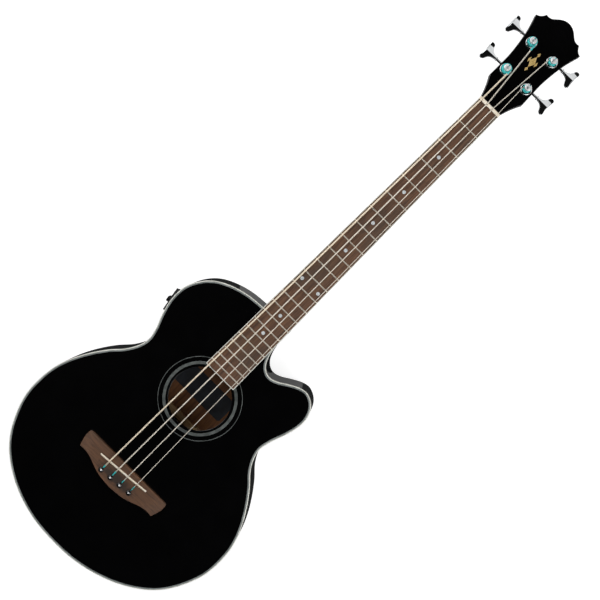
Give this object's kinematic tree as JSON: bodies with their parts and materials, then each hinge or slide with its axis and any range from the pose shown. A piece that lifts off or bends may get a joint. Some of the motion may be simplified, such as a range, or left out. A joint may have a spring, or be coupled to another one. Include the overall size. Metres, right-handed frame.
{
  "type": "acoustic bass guitar",
  "caption": "Single-cutaway acoustic bass guitar with a hollow box body, belly bridge with slanted saddle, bound fretted neck, tilted headstock with open-gear tuners and a rib preamp.",
  "frame": {"origin": "point of the flat underside of the back, straight below the middle of the saddle end of the scale length", "axes": "+Y along the neck towards the headstock, +X towards the treble side with the cutaway, +Z out of the top when the guitar lies on its back"},
  "size_m": [0.4099, 1.1741, 0.1237],
  "materials": {
    "black_lacquer": "high gloss black lacquer over wood",
    "spruce": "bare sanded spruce",
    "inner_wood": "bare reddish hardwood inside the box",
    "rosewood": "open-pored dark brown, satin",
    "ivory_binding": "polished cream",
    "bone": "smooth off-white",
    "ring_inlay": "grey inlay under gloss",
    "chrome": "bright plating",
    "steel": "plain steel",
    "string_wire": "wound bronze wire",
    "black_plastic": "moulded black plastic",
    "battery_case": "painted steel jacket"
  },
  "bodies": {
    "instrument": {"back_brace_1": "spruce", "back_brace_2": "spruce", "back_brace_3": "spruce", "back_lining": "inner_wood", "back_plate": "black_lacquer", "battery": "battery_case", "bridge": "rosewood", "bridge_pin_1": "black_plastic", "bridge_pin_2": "black_plastic", "bridge_pin_3": "black_plastic", "bridge_pin_4": "black_plastic", "bridge_plate": "inner_wood", "endpin_jack": "chrome", "fingerboard": "rosewood", "fingerboard_binding": "ivory_binding", "head_plate": "black_lacquer", "neck": "black_lacquer", "neck_block": "inner_wood", "nut": "bone", "pickup_strip": "steel", "preamp_housing": "black_plastic", "rosette_inner": "ring_inlay", "rosette_outer": "ring_inlay", "saddle": "bone", "side_bass": "black_lacquer", "side_treble": "black_lacquer", "soundboard": "black_lacquer", "string_a": "string_wire", "string_d": "string_wire", "string_e": "string_wire", "string_g": "string_wire", "tail_block": "inner_wood", "tone_brace": "spruce", "top_binding": "ivory_binding", "top_lining": "inner_wood", "truss_rod": "steel", "tuner_ferrule_1": "chrome", "tuner_ferrule_2": "chrome", "tuner_ferrule_3": "chrome", "tuner_ferrule_4": "chrome", "tuner_plate_1": "chrome", "tuner_plate_2": "chrome", "tuner_plate_3": "chrome", "tuner_plate_4": "chrome", "upper_brace": "spruce", "x_brace_bass": "spruce", "x_brace_treble": "spruce"},
    "key_1": {"tuner_key_1": "chrome"},
    "post_1": {"tuner_post_1": "chrome"},
    "key_2": {"tuner_key_2": "chrome"},
    "post_2": {"tuner_post_2": "chrome"},
    "key_3": {"tuner_key_3": "chrome"},
    "post_3": {"tuner_post_3": "chrome"},
    "key_4": {"tuner_key_4": "chrome"},
    "post_4": {"tuner_post_4": "chrome"},
    "knob_1": {"preamp_knob_1": "black_plastic"},
    "knob_2": {"preamp_knob_2": "black_plastic"},
    "knob_3": {"preamp_knob_3": "black_plastic"},
    "door": {"battery_door": "black_plastic"}
  },
  "joints": [
    {"name": "key_1_turn", "type": "hinge", "parent": "instrument", "child": "key_1", "pos_m": [-0.02374, 0.8805, 0.05269], "axis": [-0.9998, -0.0194, 0.0053], "continuous": true},
    {"name": "post_1_turn", "type": "hinge", "parent": "instrument", "child": "post_1", "pos_m": [-0.02356, 0.87718, 0.07559], "axis": [0, 0.2649, 0.9643], "continuous": true},
    {"name": "key_2_turn", "type": "hinge", "parent": "instrument", "child": "key_2", "pos_m": [-0.02497, 0.9395, 0.03648], "axis": [-0.9998, -0.0194, 0.0053], "continuous": true},
    {"name": "post_2_turn", "type": "hinge", "parent": "instrument", "child": "post_2", "pos_m": [-0.02479, 0.93618, 0.05938], "axis": [0, 0.2649, 0.9643], "continuous": true},
    {"name": "key_3_turn", "type": "hinge", "parent": "instrument", "child": "key_3", "pos_m": [0.01982, 0.94036, 0.03624], "axis": [0.9998, 0.0194, -0.0053], "continuous": true},
    {"name": "post_3_turn", "type": "hinge", "parent": "instrument", "child": "post_3", "pos_m": [0.02, 0.93705, 0.05914], "axis": [0, 0.2649, 0.9643], "continuous": true},
    {"name": "key_4_turn", "type": "hinge", "parent": "instrument", "child": "key_4", "pos_m": [0.02105, 0.88136, 0.05245], "axis": [0.9998, 0.0194, -0.0053], "continuous": true},
    {"name": "post_4_turn", "type": "hinge", "parent": "instrument", "child": "post_4", "pos_m": [0.02123, 0.87805, 0.07535], "axis": [0, 0.2649, 0.9643], "continuous": true},
    {"name": "knob_1_turn", "type": "hinge", "parent": "instrument", "child": "knob_1", "pos_m": [-0.14378, 0.24444, 0.07954], "axis": [-0.9826, -0.1857, 0.0044], "range_deg": [-135, 135]},
    {"name": "knob_2_turn", "type": "hinge", "parent": "instrument", "child": "knob_2", "pos_m": [-0.14378, 0.24418, 0.06854], "axis": [-0.9826, -0.1857, 0.0044], "range_deg": [-135, 135]},
    {"name": "knob_3_turn", "type": "hinge", "parent": "instrument", "child": "knob_3", "pos_m": [-0.14378, 0.24392, 0.05755], "axis": [-0.9826, -0.1857, 0.0044], "range_deg": [-135, 135]},
    {"name": "door_swing", "type": "hinge", "parent": "instrument", "child": "door", "pos_m": [-0.14526, 0.24298, 0.02986], "axis": [0.1857, -0.9823, 0.0234], "range_deg": [0, 95]}
  ],
  "couplings": [
    {"joint": "post_1_turn", "follows": "key_1_turn", "ratio": -0.05},
    {"joint": "post_2_turn", "follows": "key_2_turn", "ratio": -0.05},
    {"joint": "post_3_turn", "follows": "key_3_turn", "ratio": 0.05},
    {"joint": "post_4_turn", "follows": "key_4_turn", "ratio": 0.05}
  ]
}
